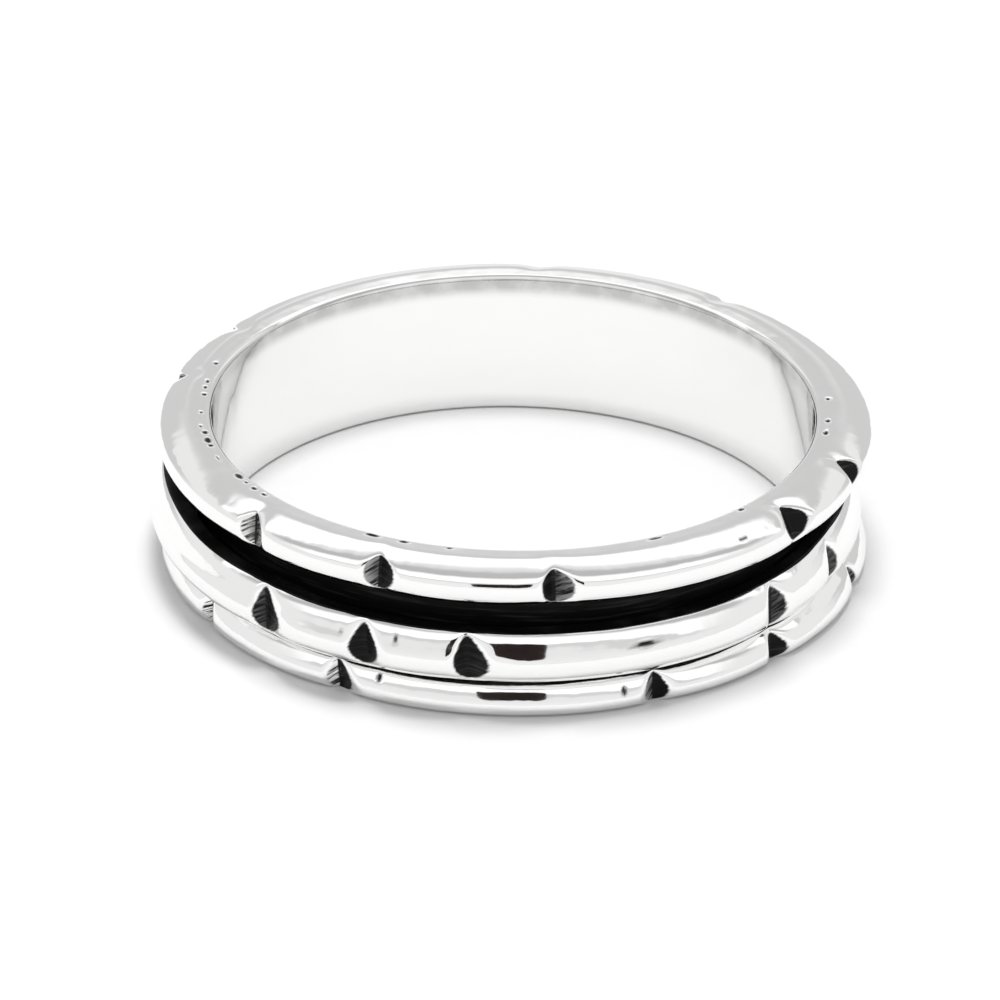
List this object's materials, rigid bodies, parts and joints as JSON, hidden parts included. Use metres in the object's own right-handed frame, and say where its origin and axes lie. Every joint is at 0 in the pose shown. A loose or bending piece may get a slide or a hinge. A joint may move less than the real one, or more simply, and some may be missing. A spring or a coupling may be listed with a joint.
{
  "type": "spinner ring",
  "caption": "Silver band ring with a half-round rim at each end and a loose D-section ring spinning in the groove between them, all filed with short V notches.",
  "frame": {"origin": "on the ring's axis, at the lower end face, where the ring rests on a table", "axes": "+Z along the finger hole, out of the upper end face; -Y is the front that the picture shows"},
  "size_m": [0.0218, 0.0218, 0.0047],
  "materials": {
    "silver_band": "polished sterling silver, blackened in the groove and in the filed notches",
    "silver_spinner": "polished sterling silver, blackened in the filed notches"
  },
  "bodies": {
    "band": {"base_band": "silver_band"},
    "spinner_ring": {"spinner": "silver_spinner"}
  },
  "joints": [
    {"name": "spinner_turn", "type": "hinge", "parent": "band", "child": "spinner_ring", "pos_m": [0, 0, 0.00184], "axis": [0, 0, 1], "continuous": true}
  ]
}
